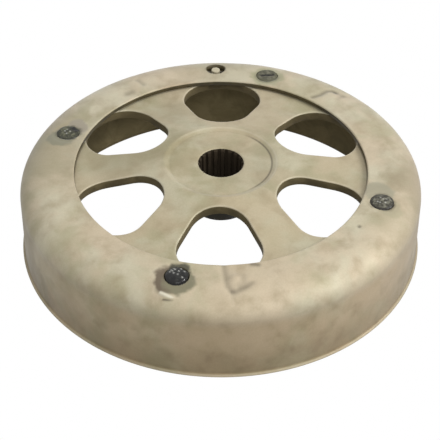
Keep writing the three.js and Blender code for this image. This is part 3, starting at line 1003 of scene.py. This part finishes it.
def build_hub():
    """The turned hub: splined bore, barrel below, shoulder under the plate and head above."""
    shoulder_top = float(plate_top(SHOULDER_R)) - PLATE_THICK - 0.3
    shoulder_low = shoulder_top - SHOULDER_THICK
    fillet_z = shoulder_low - HUB_FILLET
    barrel, bottom, top = BARREL_R, HUB_LOW_Z, HUB_TOP_Z
    body = [[BORE_CHAMFER_R, bottom], [barrel - HUB_EDGE, bottom], [barrel, bottom + HUB_EDGE]]
    body += [[barrel, fillet_z]]
    body += arc(barrel + HUB_FILLET, fillet_z, HUB_FILLET, HUB_FILLET, 180, 90, 5)
    body += [
        [SHOULDER_R - EDGE_ROUND, shoulder_low],
        [SHOULDER_R, shoulder_low + EDGE_ROUND],
        [SHOULDER_R, shoulder_top],
    ]
    head = [[HEAD_R, shoulder_top], [HEAD_R, top - 0.15], [HEAD_R - 0.15, top]]
    head += [[r, top] for r in np.linspace(HEAD_R - 1.0, BORE_CHAMFER_R + 0.15, 8)]
    head += [[BORE_CHAMFER_R, top - 0.06]]
    steps = [0.25, 0.4, 0.55, 0.7, 0.85, 1.0]
    bore = [[BORE_CHAMFER_R - d, top - d] for d in steps]
    bore += [[0.0, z] for z in np.linspace(top - 3, bottom + 3, 4)]
    bore += [[BORE_CHAMFER_R - d, bottom + d] for d in reversed(steps)]
    profile = np.array(closed(body + head + bore))
    shares = spline_shares()
    angles = np.concatenate([(k + shares) * TURN / SPLINE_TEETH for k in range(SPLINE_TEETH)])
    radius = np.repeat(profile[:, :1], len(angles), axis=1)
    in_bore = slice(len(body + head), len(body + head + bore))
    radius[in_bore] = np.maximum(radius[in_bore], bore_radius(angles))
    z = np.repeat(profile[:, 1:], len(angles), axis=1)
    grid = np.stack([radius * np.cos(angles), radius * np.sin(angles), z], -1)

    def mark(row):
        """Barrel steel below, face steel on the head, dark bore steel inside, partly painted shade."""
        if row < len(body):
            return 1
        return 0 if row < in_bore.start else 2

    sheets = Sheets()
    sheets.add(grid, True, mark)
    hub = sheets.build("hub", [hub_face, barrel_steel, bore_oil_and_shade], 35)
    return shaded(hub, lambda points: line_marks(points, HUB_SMEARS))


# ---------------------------------------------------------------- welds


WELD_TURNS = 900
WELD_ROWS = 12
WELD_RIPPLES = 58
WELD_BULGE = 0.3
RIPPLE_HEIGHT = 0.16


def build_ring_weld():
    """Fillet bead round the hub's shoulder, under the plate, with the ripples of a turning weld."""
    inner_r, leg = SHOULDER_R + 0.05, WELD_RING_R - SHOULDER_R
    angles = [t * TURN / WELD_TURNS for t in range(WELD_TURNS)]
    rows = []
    for i in range(WELD_ROWS + 1):
        share = i / WELD_ROWS
        bulge = math.sin(math.pi * share)
        ring = []
        for angle in angles:
            c, s = math.cos(angle), math.sin(angle)
            wander = 0.25 * rough(9 * c, 9 * s, 0, 4)
            phase = (WELD_RIPPLES * angle / TURN + 0.45 * bulge + wander) % 1.0
            ripple = RIPPLE_HEIGHT * bulge * (1 - phase) ** 2
            out = WELD_BULGE * bulge + ripple + 0.08 * rough(20 * c, 20 * s, share, 3)
            r = inner_r + leg * share + out * 0.7
            z = WELD_RING_TOP_Z - leg * (1 - share) - out * 0.7
            z = min(z, float(plate_top(r)) - PLATE_THICK - 0.02)
            r = min(r, WELD_RING_R)
            ring.append([r * c, r * s, max(z, WELD_RING_LOW_Z - 0.1)])
        rows.append(ring)
    back = [[inner_r * math.cos(a), inner_r * math.sin(a), WELD_RING_TOP_Z] for a in angles]
    rows += [back, rows[0]]
    sheets = Sheets()
    sheets.add(np.array(rows), True)
    return sheets.build("ring_weld", [ring_weld])


GLINT_HALF = 0.25
GLINT_RISE = 0.2
GLINT_STRENGTH = 0.65
PLUG_TURNS = 72
PLUG_ROWS = 26
PLUG_GAP = 0.05
DISH_SINK = 0.12


def build_plug(node, seed):
    """Lumpy crust of slag over a plug weld, a little wider than its hole."""
    place, look = middle(node), PLUG_LOOKS[node]
    radius = PLUG_HOLE_R + look["over"]
    angles = np.linspace(0, TURN, PLUG_TURNS, endpoint=False)
    round_xy = np.stack([np.cos(angles), np.sin(angles)], -1)
    centre = np.array([place.x, place.y])

    def row(reach, height):
        """One ring of points round the plug's middle."""
        xy = centre + round_xy * np.reshape(reach, (-1, 1))
        return np.column_stack([xy, np.broadcast_to(height, PLUG_TURNS)])

    def glints(points):
        """1 at the middle of each painted glint."""
        flat = points[:, :2] - centre
        total = np.zeros(len(flat))
        for spot in look["glints"]:
            total += bell(np.linalg.norm(flat - spot, axis=1), GLINT_HALF)
        return total

    def dark_line(points):
        """1 along the plug's dark line, if it has one."""
        if look["dark"] is None:
            return np.zeros(len(points))
        return bell(line_distance(points[:, :2], look["dark"]), look["half"])

    wall_r = PLUG_HOLE_R - PLUG_GAP
    edge_z = FLANGE_Z - DISH_DEPTH - DISH_SINK
    uneven = np.array([1 + 0.05 * rough(3 * c, 3 * s, seed, 1.8) for c, s in round_xy])
    rows = [row(0, PLUG_BASE_Z), row(wall_r, PLUG_BASE_Z), row(wall_r, edge_z - 0.2)]
    for share in np.linspace(1, 0, PLUG_ROWS + 1):
        dome = look["crown"] * math.sqrt(1 - share ** look["flatness"])
        ring = row(radius * share * uneven, edge_z + dome)
        for point in ring:
            x, y = point[:2] - centre
            lumps = look["lumps"] * rough(x, y, seed * 7.3, 1.7)
            lumps += 0.06 * rough(x, y, seed * 3.1, 0.7, 2)
            point[2] += (1 - share**6) * lumps
        ring[:, 2] += GLINT_RISE * glints(ring)
        ring[:, 2] -= (1 - share**6) * look["sink"] * dark_line(ring)
        rows.append(ring)
    sheets = Sheets()
    sheets.add(np.array(rows), True)
    bead = sheets.build(node + "_bead", [plug_crusts[node]], 80)

    def shade(points):
        """Dark along the dark line, and the rim's tone round the edge."""
        away = np.linalg.norm(points[:, :2] - centre, axis=1)
        dark = dark_line(points)
        return dark - (1 - dark) * smooth(away, radius - 1.1, radius - 0.2)

    shaded(bead, shade)
    # the speck attribute marks painted glints
    return shaded(bead, lambda points: GLINT_STRENGTH * glints(points), "speck")


# ---------------------------------------------------------------- pieces on the frame

for piece, node, slot in (
    (build_shell(), "drum_shell", "drum_steel"),
    (build_plate(), "spider_plate", "plate_steel"),
    (build_hub(), "splined_hub", "hub_steel"),
    (build_ring_weld(), "hub_weld", "weld_bead"),
    *((build_plug(node, i + 1), node, "plug_weld") for i, node in enumerate(PLUG_NODES)),
):
    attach(piece, "root")
    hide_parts(node)


# ---------------------------------------------------------------- floor, light and camera


WHITE = (1, 1, 1, 1)
FLOOR_TONE = (0.36, 0.35, 0.33, 1)
BOUNCE_TONE = (1, 0.96, 0.88, 1)
BOUNCE = 0.05
GLOSS_FLOOR = 0.7


def build_floor():
    """Plain pale floor, bright white to the camera. It glows faintly under the drum, for the light
    that a white floor would throw up into it."""
    bpy.ops.mesh.primitive_plane_add(size=6.0)
    floor = bpy.context.object
    floor.name = "floor"
    g = Graph("pale_floor")
    reach = g.near(0, 0)
    paint = g.node("BsdfDiffuse", {"Color": FLOOR_TONE}).outputs[0]
    bounce = g.ramp(reach, FRICTION_R - 4, FRICTION_R, BOUNCE, 0)
    lift = g.node("Emission", {"Color": BOUNCE_TONE, "Strength": bounce}).outputs[0]
    lit = g.node("AddShader", {0: paint, 1: lift}).outputs[0]
    ground = g.node("Emission", {"Color": WHITE}).outputs[0]
    path = g.node("LightPath")
    sweep = g.node("Emission", {"Color": WHITE, "Strength": GLOSS_FLOOR}).outputs[0]
    shiny = g.node("MixShader", {0: path.outputs["Is Glossy Ray"], 1: lit, 2: sweep}).outputs[0]
    both = g.node("MixShader", {0: path.outputs["Is Camera Ray"], 1: shiny, 2: ground}).outputs[0]
    output = g.node("OutputMaterial")
    g.tree.links.new(both, output.inputs["Surface"])
    floor.data.materials.append(g.material)


# (name, place in metres, size in metres, power in watts)
LAMPS = [
    ("key", (0.85, -0.1, 0.75), 0.5, 7.0),
    ("front", (0.1, -0.7, 0.8), 0.5, 2.2),
]


def soft_light(name, place, size, power):
    """Square lamp at a place in metres, turned to the drum."""
    lamp = bpy.data.lights.new(name, "AREA")
    lamp.size = size
    lamp.energy = power
    holder = bpy.data.objects.new(name, lamp)
    holder.location = place
    holder.rotation_euler = (-Vector(place)).to_track_quat("-Z", "Y").to_euler()
    bpy.context.scene.collection.objects.link(holder)


HORIZON = 0.17
GLOSS_HORIZON = 0.6
ZENITH = 0.76
ZENITH_RISE = 0.9


def build_world():
    """Soft studio, brighter overhead than along the horizon. Gloss sees a brighter horizon."""
    world = bpy.data.worlds.new("studio")
    bpy.context.scene.world = world
    world.use_nodes = True
    tree = world.node_tree
    sky = tree.nodes["Background"]
    coords = tree.nodes.new("ShaderNodeTexCoord")
    split = tree.nodes.new("ShaderNodeSeparateXYZ")
    path = tree.nodes.new("ShaderNodeLightPath")
    horizon = tree.nodes.new("ShaderNodeMapRange")
    rise = tree.nodes.new("ShaderNodeMapRange")
    horizon.inputs["To Min"].default_value = HORIZON
    horizon.inputs["To Max"].default_value = GLOSS_HORIZON
    rise.inputs["From Max"].default_value = ZENITH_RISE
    rise.inputs["To Max"].default_value = ZENITH
    tree.links.new(path.outputs["Is Glossy Ray"], horizon.inputs["Value"])
    tree.links.new(coords.outputs["Generated"], split.inputs[0])
    tree.links.new(split.outputs["Z"], rise.inputs["Value"])
    tree.links.new(horizon.outputs["Result"], rise.inputs["To Min"])
    tree.links.new(rise.outputs["Result"], sky.inputs["Color"])


CAMERA_ELEVATION = math.radians(38.41)
CAMERA_PITCH = math.radians(40.84)
CAMERA_ROLL = math.radians(0.286)
CAMERA_REACH = 0.4264
CAMERA_ASIDE = -0.0002
LENS_MM = 106.3


def build_camera():
    """Camera at the photographed angle: a long lens, 0.43 m from the middle of the flange."""
    camera = bpy.data.cameras.new("camera")
    camera.sensor_width = 36.0
    camera.lens = LENS_MM
    holder = bpy.data.objects.new("camera", camera)
    back = CAMERA_REACH * math.cos(CAMERA_ELEVATION)
    up = CAMERA_REACH * math.sin(CAMERA_ELEVATION) + FLANGE_Z * MM
    holder.location = (CAMERA_ASIDE, -back, up)
    holder.rotation_euler = (math.pi / 2 - CAMERA_PITCH, 0, 0)
    holder.rotation_euler.rotate_axis("Z", CAMERA_ROLL)
    bpy.context.scene.collection.objects.link(holder)
    bpy.context.scene.camera = holder


build_floor()
build_world()
for lamp in LAMPS:
    soft_light(*lamp)
build_camera()
bpy.context.scene.view_settings.view_transform = "Standard"
